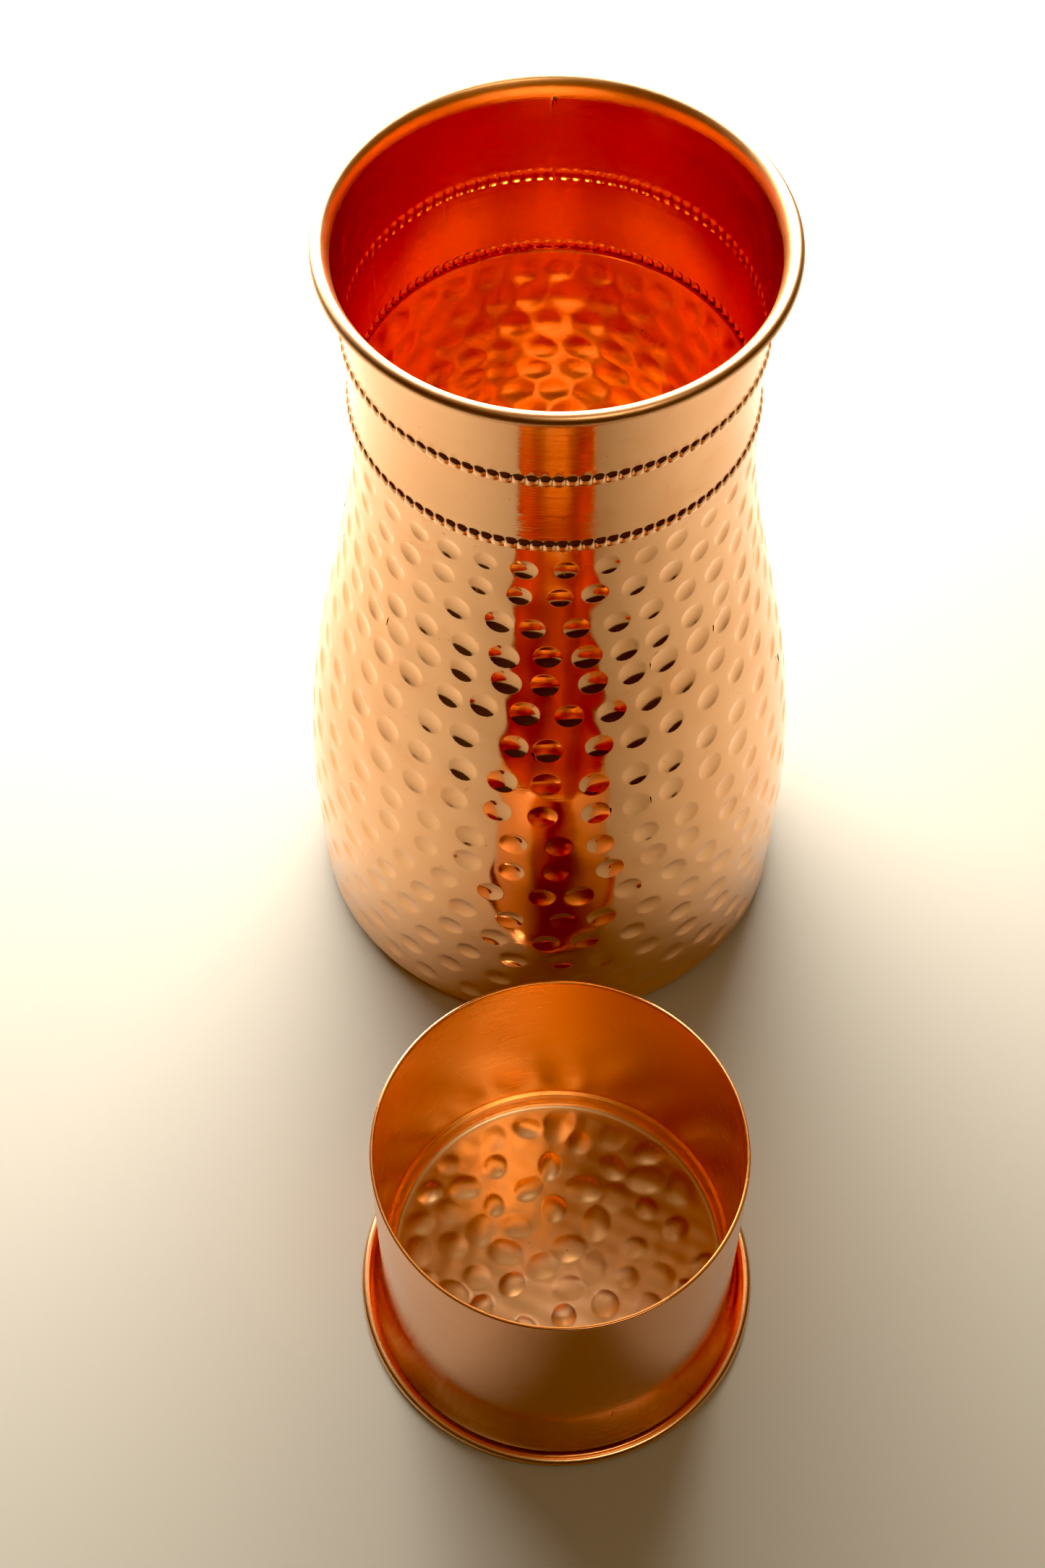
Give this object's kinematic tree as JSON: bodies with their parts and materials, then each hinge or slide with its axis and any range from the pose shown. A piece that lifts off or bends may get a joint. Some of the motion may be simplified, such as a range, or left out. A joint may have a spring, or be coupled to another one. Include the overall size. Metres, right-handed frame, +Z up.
{
  "type": "water jug",
  "caption": "Hammered copper water jug with a plain beaded neck and rolled rim, with a flared copper tumbler that turned over closes its mouth.",
  "frame": {"origin": "centre of the jug's base disc, on the surface it stands on", "axes": "+Z up along the jug's axis; the tumbler stands on the same surface towards -Y; the neck's seam is at +Y"},
  "size_m": [0.128, 0.2505, 0.229],
  "materials": {
    "hammered_copper": "polished copper, hammered all over, clear lacquer",
    "brushed_copper": "copper brushed round the neck, polished on the rolled rim",
    "satin_copper": "satin copper brushed round the wall, bright lip",
    "hammered_floor": "hammered copper, slightly golden, satin",
    "plain_copper": "plain rolled copper sheet",
    "copper_wire": "hard-drawn copper wire",
    "braze": "brass-coloured braze"
  },
  "bodies": {
    "jug": {"belly_shell": "hammered_copper", "base_disc": "plain_copper", "base_braze_ring": "braze", "neck_collar": "brushed_copper", "neck_seam_braze": "braze", "neck_joint_braze": "braze", "rim_wire": "copper_wire"},
    "tumbler": {"tumbler_wall": "satin_copper", "tumbler_bottom_plate": "plain_copper", "tumbler_floor": "hammered_floor", "tumbler_floor_braze": "braze"}
  },
  "joints": [
    {"name": "tumbler_lift", "type": "slide", "parent": "jug", "child": "tumbler", "axis": [0, 0, 1], "range_m": [0, 0.25]}
  ]
}
